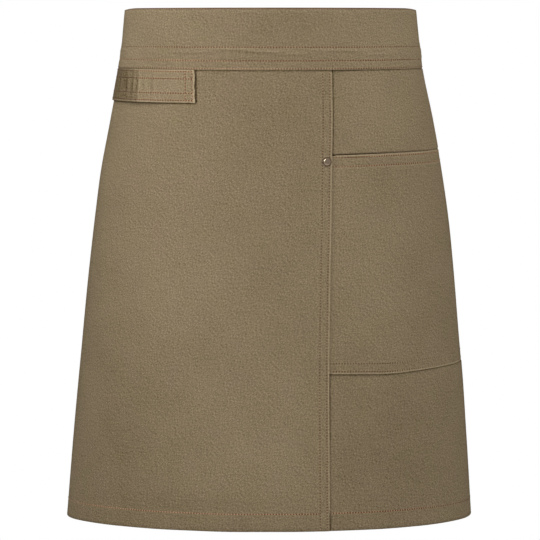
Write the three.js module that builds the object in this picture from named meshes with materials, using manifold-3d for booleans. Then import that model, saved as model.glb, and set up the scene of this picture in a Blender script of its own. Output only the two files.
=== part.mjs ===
// A waist apron of khaki twill, hanging as it is worn: two lapped panels, a folded waistband, a big
// side pocket, a towel loop, a rivet at the pocket mouth and a tape that closes the waist at the back.
// Millimetres, +Z up, the front faces -Y. The origin is the middle of the waist, halfway up the band.
import * as THREE from "three";
import { mergeVertices } from "three/addons/utils/BufferGeometryUtils.js";
import Module from "manifold-3d";

const { smoothstep, lerp } = THREE.MathUtils;
const wasm = await Module();
wasm.setup();

// Cloth and the air left between two pieces that touch
const CLOTH = 1.0;
const DOUBLED = 1.6;
const AIR = 0.3;

// Waistband
const APRON_LENGTH = 500;
const BAND_HEIGHT = 59.5;
const WAIST_DROP = 30;
const PANEL_TOP = 52;

// Turned edges of the panels
const HEM = 16.7;
const EDGE_TURN = 10;

// Lap seam, where the front panel lies over the side panel
const LAP_WIDTH = 12;
const LAP_PROUD = 0.3;
const LAP_TOP = 66;
const NOTCH_BOTTOM = 76;

// Pocket
const POCKET_WIDTH = 215;
const POCKET_TUCK = 10;
const MOUTH_DROP = 139.7;
const MOUTH_TILT = 0.012;
const POCKET_BOTTOM = 349.5;
const BOTTOM_TILT = 0.015;
const POCKET_HEM = 12.5;
const POCKET_HEMMED = 1.3;
const POCKET_PROUD = 0.7;

// Towel loop, measured along the cloth from the middle of the front
const LOOP_START = -74.3;
const LOOP_LENGTH = 158;
const LOOP_TOP = 59.8;
const LOOP_BOTTOM = 91.2;
const LOOP_THICKNESS = 1.5;

// Rivet
const RIVET_DROP = 147;
const RIVET_INSET = 5.4;
const RIVET_DIAMETER = 9;
const RIVET_HEIGHT = 2.2;
const SHANK_DIAMETER = 3;
const BURR_DIAMETER = 7;
const BURR_THICKNESS = 1.1;

// Tape at the back
const TIE_TOP = 39;
const TIE_HEIGHT = 10.5;
const TIE_TUCK = 26;

// The hanging form, a row for each height: the drop below the top edge, half the width, half the
// depth, how far the middle leans sideways, the lap edge's distance along the cloth from the middle
// of the front, and the back edges' distance along the cloth.
const FORM = [
  { drop: 0, halfWidth: 142.9, halfDepth: 98, lean: 0.4, lap: 59.4, back: 305 },
  { drop: 60, halfWidth: 149.8, halfDepth: 102, lean: 1.0, lap: 59.4, back: 312 },
  { drop: 110, halfWidth: 159.6, halfDepth: 108, lean: 1.7, lap: 59.1, back: 318 },
  { drop: 160, halfWidth: 168.8, halfDepth: 113.5, lean: 1.4, lap: 58.5, back: 324 },
  { drop: 200, halfWidth: 174.3, halfDepth: 116.5, lean: 1.7, lap: 57.8, back: 328 },
  { drop: 260, halfWidth: 180.8, halfDepth: 120, lean: 1.6, lap: 56.7, back: 335 },
  { drop: 340, halfWidth: 188.1, halfDepth: 125, lean: 1.3, lap: 56.0, back: 344 },
  { drop: 420, halfWidth: 195.4, halfDepth: 130, lean: 0.3, lap: 57.2, back: 354 },
  { drop: 500, halfWidth: 201.9, halfDepth: 134.5, lean: -1.2, lap: 59.1, back: 363 },
];

// How far the loop stands off the panel along its length, bent round a corner a third of the way.
const LOOP_BOW = [
  { along: 0, out: 0.3 },
  { along: 10, out: 0.3 },
  { along: 25, out: 2.6 },
  { along: 42, out: 8.2 },
  { along: 54, out: 12.3 },
  { along: 64, out: 12.7 },
  { along: 80, out: 8.2 },
  { along: 100, out: 3.4 },
  { along: 122, out: 0.8 },
  { along: 138, out: 0.3 },
  { along: 158, out: 0.3 },
];

// The pocket's inside, a row for each height: how far the side panel hangs back from the pocket, and
// how far the pocket's face bellies out.
const POCKET_ROOM = [
  { drop: 85, room: 0, belly: 0 },
  { drop: 112, room: 2.2, belly: 1.0 },
  { drop: 139, room: 6.8, belly: 2.4 },
  { drop: 170, room: 11, belly: 1.8 },
  { drop: 205, room: 13, belly: 0.8 },
  { drop: 260, room: 9, belly: 0 },
  { drop: 310, room: 2, belly: 0 },
  { drop: 335, room: 0, belly: 0 },
];

// A smooth curve through one column of a table
function column(table, key, value) {
  const keys = table.map((row) => row[key]);
  const curve = new THREE.CubicInterpolant(keys, table.map((row) => row[value]), 1);
  return (at) => curve.evaluate(THREE.MathUtils.clamp(at, keys[0], keys.at(-1)))[0];
}

const halfWidth = column(FORM, "drop", "halfWidth");
const halfDepth = column(FORM, "drop", "halfDepth");
const lean = column(FORM, "drop", "lean");
const lapAlong = column(FORM, "drop", "lap");
const backAlong = column(FORM, "drop", "back");
const loopOut = column(LOOP_BOW, "along", "out");
const pocketRoom = column(POCKET_ROOM, "drop", "room");
const pocketBelly = column(POCKET_ROOM, "drop", "belly");

// Cloth length gained for each radian round the form
function pace(angle, drop) {
  return Math.hypot(halfWidth(drop) * Math.cos(angle), halfDepth(drop) * Math.sin(angle));
}

// The angle round the form at a distance along the cloth from the middle of the front
function angleAt(drop, along) {
  const steps = 48;
  let angle = 0;
  for (let i = 0; i < steps; i++) {
    const middle = angle + along / steps / 2 / pace(angle, drop);
    angle += along / steps / pace(middle, drop);
  }
  return angle;
}

// The point at a drop and a distance along the cloth, standing out from the form
function spot(drop, along, out) {
  const angle = angleAt(drop, along);
  const wide = halfWidth(drop);
  const deep = halfDepth(drop);
  const normal = new THREE.Vector2(deep * Math.sin(angle), -wide * Math.cos(angle)).normalize();
  return new THREE.Vector3(
    lean(drop) + wide * Math.sin(angle) + out * normal.x,
    -deep * Math.cos(angle) + out * normal.y,
    WAIST_DROP - drop,
  );
}

// A run of even steps from one value to another, both ends included
function run(from, to, count) {
  return Array.from({ length: count + 1 }, (_, i) => lerp(from, to, i / count));
}

// Stations from the lap edge to the pocket's far edge, shared by the pocket and the panel behind it
const BESIDE_LAP = [0.5, 4, 10, 18, 28, ...run(42, POCKET_WIDTH, 14)];

// Joins neighbouring sections of cloth into one closed body. A section is a list of pairs, the outer
// and the inner point at one place on it.
function clothBody(sections) {
  const pairs = sections[0].length;
  const ring = 2 * pairs;
  const positions = [];
  const index = [];
  for (const section of sections) {
    const points = [...section.map((pair) => pair[0]), ...section.map((pair) => pair[1]).reverse()];
    for (const point of points) positions.push(point.x, point.y, point.z);
  }
  for (let s = 0; s + 1 < sections.length; s++) {
    for (let k = 0; k < ring; k++) {
      const a = s * ring + k;
      const b = s * ring + ((k + 1) % ring);
      index.push(a, b, b + ring, a, b + ring, a + ring);
    }
  }
  const last = (sections.length - 1) * ring;
  for (let k = 0; k + 1 < pairs; k++) {
    const across = ring - 1 - k;
    index.push(k, across, across - 1, k, across - 1, k + 1);
    index.push(last + k, last + across - 1, last + across, last + k, last + k + 1, last + across - 1);
  }
  const geometry = new THREE.BufferGeometry();
  geometry.setAttribute("position", new THREE.Float32BufferAttribute(positions, 3));
  geometry.setIndex(index);
  return geometry;
}

// A turned body from its profile of radius and height pairs
function turnedBody(profile) {
  const points = profile.map(([radius, height]) => new THREE.Vector2(radius, height));
  return new THREE.LatheGeometry(points, 28);
}

// Stands a body made along +Y on the cloth, its axis along the cloth's outward normal
function standOn(geometry, drop, along, out) {
  const foot = spot(drop, along, out);
  const across = spot(drop, along + 1, out).sub(spot(drop, along - 1, out));
  const down = spot(drop + 1, along, out).sub(spot(drop - 1, along, out));
  const normal = down.cross(across).normalize();
  const turn = new THREE.Quaternion().setFromUnitVectors(new THREE.Vector3(0, 1, 0), normal);
  return geometry.applyQuaternion(turn).translate(foot.x, foot.y, foot.z);
}

// Shared corners only, with no triangle that has shrunk to a line
function welded(geometry) {
  geometry.deleteAttribute("normal");
  geometry.deleteAttribute("uv");
  const merged = mergeVertices(geometry, 1e-4);
  const source = merged.index.array;
  const kept = [];
  for (let i = 0; i < source.length; i += 3) {
    const [a, b, c] = source.slice(i, i + 3);
    if (a !== b && b !== c && c !== a) kept.push(a, b, c);
  }
  merged.setIndex(kept);
  return merged;
}

// One body with others cut away from it
function cut(geometry, ...tools) {
  const solids = [geometry, ...tools].map((body) => {
    const merged = welded(body);
    const vertProperties = new Float32Array(merged.attributes.position.array);
    const triVerts = new Uint32Array(merged.index.array);
    return new wasm.Manifold(new wasm.Mesh({ numProp: 3, vertProperties, triVerts }));
  });
  const mesh = solids.reduce((rest, tool) => rest.subtract(tool)).getMesh();
  const result = new THREE.BufferGeometry();
  result.setAttribute("position", new THREE.BufferAttribute(mesh.vertProperties, 3));
  result.setIndex(new THREE.BufferAttribute(mesh.triVerts, 1));
  return result;
}

// The clear hole for the rivet's shank
function rivetHole() {
  const radius = SHANK_DIAMETER / 2 + AIR;
  const tool = new THREE.CylinderGeometry(radius, radius, 14, 28);
  return standOn(tool, RIVET_DROP, lapAlong(RIVET_DROP) - RIVET_INSET, 0);
}

// The share of the pocket's full gape at a distance from the lap edge
function gape(fromLap) {
  return smoothstep(fromLap, 6, 24) * (1 - smoothstep(fromLap, 70, 150));
}

// The pocket's face, caught under the lap and bellying out from there
function pocketFace(drop, fromLap) {
  const caught = -LAP_PROUD - CLOTH - AIR;
  return lerp(caught, POCKET_PROUD, smoothstep(fromLap, 2, 40)) + gape(fromLap) * pocketBelly(drop);
}

// The side panel's face: under the lap, and hanging back behind the pocket
function sideFace(drop, fromLap) {
  const lapped = (LAP_PROUD + CLOTH + AIR) * (1 - smoothstep(fromLap, 2, 40));
  const plain = -lapped * smoothstep(drop, BAND_HEIGHT, NOTCH_BOTTOM - 2);
  const hung = gape(fromLap) * pocketRoom(drop);
  const behind = pocketFace(drop, fromLap) - POCKET_HEMMED - AIR - hung;
  const reach = 1 - smoothstep(fromLap, POCKET_WIDTH + 2, POCKET_WIDTH + 22);
  const under = smoothstep(drop, 85, 136) * (1 - smoothstep(drop, POCKET_BOTTOM + 1.5, 386));
  return lerp(plain, behind, under * reach);
}

function frontPanel() {
  const drops = [
    PANEL_TOP, 60, LAP_TOP - 0.3, LAP_TOP + 0.3, 90, 110, 140, 170, 200, 240, 280, 320, 360, 400, 440,
    APRON_LENGTH - HEM - 0.3, APRON_LENGTH - HEM + 0.3, APRON_LENGTH,
  ];
  const inner = 34;
  const sections = [];
  for (let i = 0; i < inner + 6; i++) {
    sections.push(drops.map((drop) => {
      const left = -backAlong(drop);
      const right = lapAlong(drop);
      const middle = run(left + EDGE_TURN + 0.3, right - LAP_WIDTH - 0.3, inner);
      const stations = [left, left + EDGE_TURN - 0.3, ...middle, right - LAP_WIDTH + 0.3, right - 6, right];
      const along = stations[i];
      const lapped = along > right - LAP_WIDTH && drop > LAP_TOP;
      const edged = along < left + EDGE_TURN && drop > LAP_TOP;
      const turned = edged || drop > APRON_LENGTH - HEM;
      const skin = lapped ? LAP_PROUD : 0;
      const lining = lapped ? -LAP_PROUD - CLOTH : turned ? -DOUBLED : -CLOTH;
      return [spot(drop, along, skin), spot(drop, along, lining)];
    }));
  }
  return cut(clothBody(sections), rivetHole());
}

function sidePanel() {
  const drops = [
    PANEL_TOP, 60, 68, NOTCH_BOTTOM, 90, 105, 120, 130, 138, 147, 158, 170, 187, 205, 230, 260, 290,
    320, 336, 351, 362, 374, 386, 410, 440, APRON_LENGTH - HEM - 0.3, APRON_LENGTH - HEM + 0.3,
    APRON_LENGTH,
  ];
  const near = [-LAP_WIDTH, -6, ...BESIDE_LAP];
  const beyond = 5;
  const sections = [];
  for (let i = 0; i < near.length + beyond + 2; i++) {
    sections.push(drops.map((drop) => {
      const width = backAlong(drop) - lapAlong(drop);
      const far = run(POCKET_WIDTH, width - EDGE_TURN - 0.3, beyond).slice(1);
      const stations = [...near, ...far, width - EDGE_TURN + 0.3, width];
      const fromLap = stations[i];
      const edged = fromLap > width - EDGE_TURN && drop > LAP_TOP;
      const turned = edged || drop > APRON_LENGTH - HEM;
      const face = sideFace(drop, fromLap);
      const along = lapAlong(drop) + fromLap;
      return [spot(drop, along, face), spot(drop, along, face - (turned ? DOUBLED : CLOTH))];
    }));
  }
  const notch = run(-LAP_WIDTH - 6, AIR, 3).map((fromLap) => {
    return run(PANEL_TOP - 6, NOTCH_BOTTOM - 1, 3).map((drop) => {
      const along = lapAlong(drop) + fromLap;
      return [spot(drop, along, 8), spot(drop, along, -8)];
    });
  });
  return cut(clothBody(sections), clothBody(notch), rivetHole());
}

function pocket() {
  const turnLine = POCKET_WIDTH - EDGE_TURN;
  const stations = [-POCKET_TUCK, -5, ...BESIDE_LAP];
  stations.splice(-1, 0, turnLine - 0.3, turnLine + 0.3);
  const sections = stations.map((fromLap) => {
    const mouth = MOUTH_DROP - MOUTH_TILT * fromLap;
    const bottom = POCKET_BOTTOM - BOTTOM_TILT * fromLap;
    const middle = run(mouth + POCKET_HEM + 0.3, bottom - POCKET_HEM - 0.3, 9);
    const drops = [mouth, mouth + POCKET_HEM - 0.3, ...middle, bottom - POCKET_HEM + 0.3, bottom];
    return drops.map((drop) => {
      const hemmed = drop < mouth + POCKET_HEM || drop > bottom - POCKET_HEM;
      const edged = fromLap > turnLine;
      const thick = (hemmed && fromLap > 3) || edged ? POCKET_HEMMED : CLOTH;
      const along = lapAlong(drop) + fromLap;
      const face = pocketFace(drop, fromLap);
      return [spot(drop, along, face), spot(drop, along, face - thick)];
    });
  });
  return cut(clothBody(sections), rivetHole());
}

// The band is one folded strip: down the outside, over the top edge, down the inside.
function waistband() {
  const outside = AIR + CLOTH;
  const inside = -CLOTH - 2 * AIR;
  const middle = (AIR + inside) / 2;
  const profile = [
    { drop: BAND_HEIGHT, skin: outside, lining: AIR, lining_drop: BAND_HEIGHT },
    { drop: 30, skin: outside, lining: AIR, lining_drop: 30 },
    { drop: 3, skin: outside, lining: AIR, lining_drop: 3 },
    { drop: 0.7, skin: outside - 0.5, lining: AIR - 0.3, lining_drop: 1.6 },
    { drop: 0, skin: middle, lining: middle, lining_drop: 1.1 },
    { drop: 0.7, skin: inside - 0.5, lining: inside + 0.3, lining_drop: 1.6 },
    { drop: 3, skin: inside - CLOTH, lining: inside, lining_drop: 3 },
    { drop: 30, skin: inside - CLOTH, lining: inside, lining_drop: 30 },
    { drop: BAND_HEIGHT, skin: inside - CLOTH, lining: inside, lining_drop: BAND_HEIGHT },
  ];
  const sections = run(1, -1, 56).map((share) => profile.map((row) => {
    const skin = spot(row.drop, share * backAlong(row.drop), row.skin);
    const lining = spot(row.lining_drop, share * backAlong(row.lining_drop), row.lining);
    return [skin, lining];
  }));
  return clothBody(sections);
}

function towelLoop() {
  const drops = run(LOOP_TOP, LOOP_BOTTOM, 3);
  const sections = run(LOOP_LENGTH, 0, 26).map((along) => drops.map((drop) => {
    const out = loopOut(along);
    const place = LOOP_START - along;
    return [spot(drop, place, out + LOOP_THICKNESS), spot(drop, place, out)];
  }));
  return clothBody(sections);
}

// Both rivet pieces are turned about one axis, from the cap's underside on the lap.
function standRivet(profile) {
  const along = lapAlong(RIVET_DROP) - RIVET_INSET;
  return welded(standOn(turnedBody(profile), RIVET_DROP, along, LAP_PROUD + AIR));
}

// Cloth held between the cap and the burr
function rivetGrip() {
  return LAP_PROUD + AIR - sideFace(RIVET_DROP, -RIVET_INSET) + CLOTH + AIR;
}

function rivetCap() {
  const end = -rivetGrip() - BURR_THICKNESS;
  return standRivet([
    [0, end],
    [SHANK_DIAMETER / 2, end],
    [SHANK_DIAMETER / 2, 0],
    [RIVET_DIAMETER / 2 - 0.4, 0],
    [RIVET_DIAMETER / 2, 0.4],
    [RIVET_DIAMETER / 2 - 0.5, 1.2],
    [RIVET_DIAMETER / 2 - 1.8, 1.9],
    [0, RIVET_HEIGHT],
  ]);
}

function rivetBurr() {
  const top = -rivetGrip();
  const hole = SHANK_DIAMETER / 2 + AIR;
  return standRivet([
    [hole, top - BURR_THICKNESS],
    [BURR_DIAMETER / 2 - 0.3, top - BURR_THICKNESS],
    [BURR_DIAMETER / 2, top - BURR_THICKNESS + 0.3],
    [BURR_DIAMETER / 2, top],
    [hole, top],
    [hole, top - BURR_THICKNESS],
  ]);
}

// The tape leaves one end of the band, passes round the back and goes into the other end.
function backTie() {
  const drops = run(TIE_TOP, TIE_TOP + TIE_HEIGHT, 1);
  let halfRound = 0;
  for (let i = 0; i < 180; i++) halfRound += pace(((i + 0.5) * Math.PI) / 180, TIE_TOP) * (Math.PI / 180);
  const start = backAlong(TIE_TOP) - TIE_TUCK;
  const sections = run(start, 2 * halfRound - start, 20).map((along) => drops.map((drop) => {
    return [spot(drop, along, 0), spot(drop, along, -CLOTH)];
  }));
  return clothBody(sections);
}

// Looks of the two materials
const KHAKI = { color: 0x86775d, roughness: 0.92, metalness: 0 };
const ANTIQUE_COPPER = { color: 0x7d5c48, roughness: 0.35, metalness: 1 };

const apron = new THREE.Group();
apron.name = "waist_apron";

function addPiece(name, geometry, look) {
  geometry.computeVertexNormals();
  const mesh = new THREE.Mesh(geometry, new THREE.MeshStandardMaterial(look));
  mesh.name = name;
  apron.add(mesh);
}

addPiece("front_panel", frontPanel(), KHAKI);
addPiece("side_panel", sidePanel(), KHAKI);
addPiece("waistband", waistband(), KHAKI);
addPiece("pocket", pocket(), KHAKI);
addPiece("towel_loop", towelLoop(), KHAKI);
addPiece("rivet_cap", rivetCap(), ANTIQUE_COPPER);
addPiece("rivet_burr", rivetBurr(), ANTIQUE_COPPER);
addPiece("back_tie", backTie(), KHAKI);

export default apron;
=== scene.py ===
import math

import bpy
import numpy as np
from bpy.props import FloatProperty, FloatVectorProperty, PointerProperty
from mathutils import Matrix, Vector


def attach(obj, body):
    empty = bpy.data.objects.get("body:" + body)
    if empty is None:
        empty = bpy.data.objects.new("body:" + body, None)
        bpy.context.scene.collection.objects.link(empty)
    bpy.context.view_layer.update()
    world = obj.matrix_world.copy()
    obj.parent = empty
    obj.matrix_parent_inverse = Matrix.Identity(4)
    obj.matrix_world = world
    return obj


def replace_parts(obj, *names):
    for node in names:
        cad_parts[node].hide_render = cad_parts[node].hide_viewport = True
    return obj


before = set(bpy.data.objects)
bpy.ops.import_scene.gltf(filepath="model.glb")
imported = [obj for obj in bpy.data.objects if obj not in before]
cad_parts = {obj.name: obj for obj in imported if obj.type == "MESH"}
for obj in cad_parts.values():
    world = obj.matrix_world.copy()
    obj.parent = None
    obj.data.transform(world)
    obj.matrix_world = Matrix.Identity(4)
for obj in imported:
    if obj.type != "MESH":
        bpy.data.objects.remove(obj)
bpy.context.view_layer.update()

bl_info = {
    "name": "Waist apron",
    "version": (1, 0, 0),
    "blender": (4, 5, 0),
    "location": "3D View > Sidebar > Apron",
    "description": "Sews a khaki waist apron in its worn form, with topstitching, a pocket and a towel loop",
    "category": "Object",
}

# Lengths in the tables and in the sewing code are millimetres; meshes are metres.
MM = 0.001

# The hanging form, a row for each height: drop below the top edge, half width, half depth, sideways
# lean, lap edge along the cloth from the middle of the front, back edges along the cloth.
FORM = np.array([
    (0, 142.9, 98.0, 0.4, 59.4, 305),
    (60, 149.8, 102.0, 1.0, 59.4, 312),
    (110, 159.6, 108.0, 1.7, 59.1, 318),
    (160, 168.8, 113.5, 1.4, 58.5, 324),
    (200, 174.3, 116.5, 1.7, 57.8, 328),
    (260, 180.8, 120.0, 1.6, 56.7, 335),
    (340, 188.1, 125.0, 1.3, 56.0, 344),
    (420, 195.4, 130.0, 0.3, 57.2, 354),
    (500, 201.9, 134.5, -1.2, 59.1, 363),
])

# The towel loop's stand-off from the panel: distance from its sewn end, stand-off.
LOOP_BOW = np.array([
    (0, 0.3), (10, 0.3), (25, 0.7), (42, 1.9), (54, 2.8), (64, 3.0),
    (80, 2.4), (100, 1.5), (122, 0.6), (138, 0.3), (158, 0.3),
])

# Creases across the towel loop where it turns to the side: distance, depth, half width, slant.
LOOP_CREASES = (
    (46, 0.35, 1.5, 0.04), (56, 0.25, 1.6, -0.03), (65, 1.0, 1.5, 0.03), (72.3, 0.8, 1.6, 0.05),
    (82.5, 0.8, 2.8, -0.04), (97, 0.35, 2.2, 0.04),
)

# The pocket's inside: drop, how far the panel hangs back, how far the pocket's face bellies out.
POCKET_ROOM = np.array([
    (85, 0, 0), (112, 0.5, 0.3), (139, 2.6, 1.3), (170, 6, 1.2),
    (205, 7, 0.6), (260, 5, 0), (310, 1.2, 0), (335, 0, 0),
])

# The pocket's edges, which sag a little: distance from the lap edge, drop of the mouth, drop of the foot.
POCKET_EDGES = np.array([
    (-20, 141.0, 349.9), (10, 140.6, 350.0), (35, 140.0, 350.5), (58, 139.4, 351.2), (75, 139.0, 350.8),
    (96, 138.6, 349.6), (115, 138.3, 348.8), (139, 137.8, 347.7), (165, 137.4, 347.0), (230, 136.8, 346.0),
])

# Patches of painted light on the cloth, and of painted shade with a strength below nought: place along
# the cloth, drop, reach along, reach down, strength.
LIGHT_AND_SHADE_PATCHES = (
    (5, 105, 70, 45, -0.35), (-85, 262, 62, 60, 0.45), (-152, 425, 48, 60, -0.4), (0, 436, 60, 70, 0.4),
    (120, 430, 55, 75, -0.45), (120, 28, 60, 40, 0.75), (105, 105, 50, 32, 0.55), (0, 25, 80, 35, -0.25),
    (100, 245, 46, 80, 0.45), (-70, 473, 70, 9, -0.3), (-170, 26, 32, 34, 0.4),
    (-162, 345, 40, 70, -0.27), (-30, 378, 55, 50, 0.22), (72, 425, 15, 60, -0.22), (0, 44, 75, 20, 0.18),
    (70, 115, 15, 42, -0.17), (-150, 490, 60, 30, -0.4), (-20, 500, 75, 22, -0.45),
)

# Creases in the waistband's tunnel: place along the band, height, half length, drop below the upper row,
# slope.
BAND_CREASES = (
    (-30, 0.8, 17, 1.8, 0.01), (-6, 0.7, 20, 4.1, 0.02), (22, 0.5, 16, 6.4, -0.02),
    (-78, 0.45, 26, 4.6, -0.01), (70, 0.4, 24, 3.4, 0.015), (112, 0.35, 18, 6.8, -0.02),
)

# Thread of the waistband's four rows, from the top: tone, the share of painted highlight against painted
# shade, and faintness.
BAND_THREADS = ((0.2, 0.4), (0.42, 0.4), (0.36, 0.22), (0.56, 0.52))

# The waistband: its size, the half of its length and the finely creased part of that half, the stand-off
# of its outer face, its lining, the lining's inner face and the middle between both faces, and the length
# of an end that is sewn shut, with the share of the thickness that is left there.
BAND_HEIGHT = 59.5
BAND_TURN = 9.0
BAND_HALF = 305
BAND_FRONT = 190
BAND_PROUD = 0.6
BAND_LINING = -2.8
BAND_INSIDE = -3.1
BAND_MIDDLE = -1.1
BAND_END = 9
BAND_PINCH = 0.36
BAND_ROWS = (37.8, 50.5, 58.2)
TOP_ROW = 1.0

# The skirt's two panels and the lap between them. The waist, which is the origin, lies below the top edge.
APRON_LENGTH = 500
WAIST_DROP = 30
PANEL_TOP = 52
PANEL_STEP = 3.0
FRONT_WIDTH = 404
SIDE_WIDTH = 290
HEM = 16.7
HEM_ROW = 483.1
HEM_LAYERS = 1.3
EDGE_TURN = 10
EDGE_ROW = 7
LAP_WIDTH = 12
LAP_TOP = 61
LAP_ROWS = (2.7, 9.6)
LAP_PROUD = 0.3
UNDER_LAP = 1.1

# The pocket
POCKET_WIDTH = 215
POCKET_HEIGHT = 209.8
POCKET_TUCK = 10
POCKET_HEM = 12.5
POCKET_MOUTH_ROWS = (2.3, 11.0)
POCKET_FOOT_ROWS = (2.4, 10.1)
POCKET_FAR_ROWS = (2.4, 9.4)
POCKET_PROUD = 0.7
POCKET_LAYERS = 1.45

# The towel loop
LOOP_START = -74.3
LOOP_LENGTH = 158
LOOP_HEIGHT = 31.6
LOOP_STRAP = 1.3
LOOP_GAP = 0.15
LOOP_LEAST_OUT = 0.28
LOOP_ROWS = (1.6, 8.5, 22.4, 29.3)
LOOP_ENDS = (2.8, 10.1)

# The rivet
RIVET_DROP = 146.8
RIVET_INSET = 5.2

# The tape at the back
TIE_TOP = 39
TIE_HEIGHT = 10.5
TIE_FOOT = TIE_TOP + TIE_HEIGHT
TIE_THICKNESS = 0.9
TIE_TUCK = 26

# Soft spans, each from where it begins to where it is full, and from where it fades to where it has ended:
# the pocket's gape from the lap edge, the pocket down the skirt, the band's flare and the panel's hollow
# over the loop's side, the loop's slack from its sewn end, and faint thread and faint shade down the lap.
GAPE_SPAN = (2, 13, 60, 150)
POCKET_SPAN = (70, 140, 360, 420)
FLARE_SPAN = (120, 175, 235, 290)
HOLLOW_SPAN = (150, 185, 232, 255)
SLACK_SPAN = (14, 40, 118, 140)
FAINT_THREAD_SPAN = (120, 180, 340, 400)
FAINT_SHADE_SPAN = (380, 440, HEM_ROW - 2, HEM_ROW + 3)

# Steps in which the way round the form is measured, and the angle from which an edge of cloth stays crisp.
ROUND_STEPS = 48
CRISP_EDGE = math.radians(50)


class ApronClothSettings(bpy.types.PropertyGroup):
    """Cloth and thread of the apron"""
    thickness: FloatProperty(
        name="Cloth thickness", description="Thickness of one layer of twill",
        default=0.0006, min=0.0003, max=0.0009, unit="LENGTH")
    khaki: FloatVectorProperty(
        name="Khaki", description="Dyed colour of the twill",
        default=(0.263, 0.201, 0.1205), size=3, min=0, max=1, subtype="COLOR")
    twill_pitch: FloatProperty(
        name="Twill pitch", description="Distance between two diagonal ribs of the weave",
        default=0.00075, min=0.0003, max=0.003, unit="LENGTH")
    # Where the thread dips into the cloth, its dark colour is painted shade.
    thread: FloatVectorProperty(
        name="Thread", description="Colour of the topstitching thread where it dips into the cloth",
        default=(0.107, 0.027, 0.010), size=3, min=0, max=1, subtype="COLOR")
    # The thread's painted highlight, where it lies on top of the cloth.
    thread_highlight: FloatVectorProperty(
        name="Thread highlight", description="Colour of the thread's painted highlight on top of the cloth",
        default=(0.52, 0.32, 0.19), size=3, min=0, max=1, subtype="COLOR")
    stitch_pitch: FloatProperty(
        name="Stitch pitch", description="Length of one stitch with its gap",
        default=0.00275, min=0.0015, max=0.006, unit="LENGTH")
    thread_width: FloatProperty(
        name="Thread width", description="Thickness of the topstitching thread",
        default=0.0013, min=0.0002, max=0.002, unit="LENGTH")


class ApronRivetSettings(bpy.types.PropertyGroup):
    """Rivet at the pocket mouth"""
    diameter: FloatProperty(
        name="Cap diameter", description="Width of the rivet's cap",
        default=0.0087, min=0.005, max=0.014, unit="LENGTH")
    copper: FloatVectorProperty(
        name="Antique copper", description="Colour of the bare metal",
        default=(0.54, 0.41, 0.29), size=3, min=0, max=1, subtype="COLOR")


class ApronStageSettings(bpy.types.PropertyGroup):
    """Floor, lights and camera"""
    floor_drop: FloatProperty(
        name="Floor below waist", description="Height of the waist above the floor",
        default=1.05, min=0.6, max=2, unit="LENGTH")
    key_power: FloatProperty(
        name="Key light", description="Power of the soft light close by at the upper left",
        default=5.82, min=0, max=400, unit="POWER")
    side_power: FloatProperty(
        name="Side light", description="Power of the soft light at the upper right",
        default=8.2, min=0, max=400, unit="POWER")
    front_power: FloatProperty(
        name="Front light", description="Power of the soft light low in front",
        default=4.1, min=0, max=400, unit="POWER")
    left_power: FloatProperty(
        name="Left light", description="Power of the faint light at the left",
        default=0.7, min=0, max=400, unit="POWER")
    back_power: FloatProperty(
        name="Back light", description="Power of the soft light behind the apron",
        default=24, min=0, max=400, unit="POWER")
    surround: FloatProperty(
        name="White surround", description="Brightness of the white room round the apron",
        default=0.2, min=0, max=2)
    camera_distance: FloatProperty(
        name="Camera distance", description="Distance of the camera in front of the waist",
        default=3.285, min=1, max=10, unit="LENGTH")
    camera_tilt: FloatProperty(
        name="Camera tilt", description="Angle by which the camera looks down",
        default=math.radians(3.97), min=0, max=1, subtype="ANGLE")
    lens: FloatProperty(
        name="Lens", description="Focal length of the camera in millimetres",
        default=221.46, min=20, max=400)


# The form and the cloth's place on it

def curve(table, column):
    """A smooth curve through one column of a table, over its first column."""
    keys, values = table[:, 0].astype(float), table[:, column].astype(float)
    slopes = np.gradient(values, keys)

    def at(place):
        place = np.clip(place, keys[0], keys[-1])
        i = np.clip(np.searchsorted(keys, place, side="right") - 1, 0, len(keys) - 2)
        span = keys[i + 1] - keys[i]
        s = (place - keys[i]) / span
        bend = span * s * (1 - s) * ((1 - s) * slopes[i] - s * slopes[i + 1])
        return values[i] + s * s * (3 - 2 * s) * (values[i + 1] - values[i]) + bend

    return at


half_width, half_depth, lean, lap_along, back_along = (curve(FORM, column) for column in range(1, 6))
loop_out = curve(LOOP_BOW, 1)
pocket_room, pocket_belly = curve(POCKET_ROOM, 1), curve(POCKET_ROOM, 2)
pocket_mouth, pocket_foot = curve(POCKET_EDGES, 1), curve(POCKET_EDGES, 2)


def ease(value, low, high):
    """A smooth step from 0 at low to 1 at high."""
    s = np.clip((value - low) / (high - low), 0, 1)
    return s * s * (3 - 2 * s)


def within(value, begins, full, fades, ended):
    """A soft share that rises from 0 to 1 and falls back to 0 over a span."""
    return ease(value, begins, full) * (1 - ease(value, fades, ended))


def near(distance, reach):
    """A soft share: 1 on a line, fading away within a reach of it."""
    return np.exp(-(distance / reach) ** 2)


def angle_at(drop, along):
    """The angle round the form at a distance along the cloth from the middle of the front."""
    wide, deep = half_width(drop), half_depth(drop)
    step = along / ROUND_STEPS
    angle = np.zeros(np.broadcast(drop, along).shape)
    for _ in range(ROUND_STEPS):
        middle = angle + step / 2 / np.hypot(wide * np.cos(angle), deep * np.sin(angle))
        angle = angle + step / np.hypot(wide * np.cos(middle), deep * np.sin(middle))
    return angle


def spot(drop, along, out):
    """Points, in metres, at a drop and a distance along the cloth, standing out from the form."""
    angle = angle_at(drop, along)
    wide, deep = half_width(drop), half_depth(drop)
    across, forth = deep * np.sin(angle), -wide * np.cos(angle)
    length = np.hypot(across, forth)
    x = lean(drop) + wide * np.sin(angle) + out * across / length
    y = -deep * np.cos(angle) + out * forth / length
    z = WAIST_DROP - drop + 0 * angle
    return np.stack((x, y, z), axis=-1) * MM


def half_round(drop):
    """Half the way round the form, along the cloth."""
    angle = (np.arange(720) + 0.5) * math.pi / 720
    return np.hypot(half_width(drop) * np.cos(angle), half_depth(drop) * np.sin(angle)).mean() * math.pi


# Relief of the cloth

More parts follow.
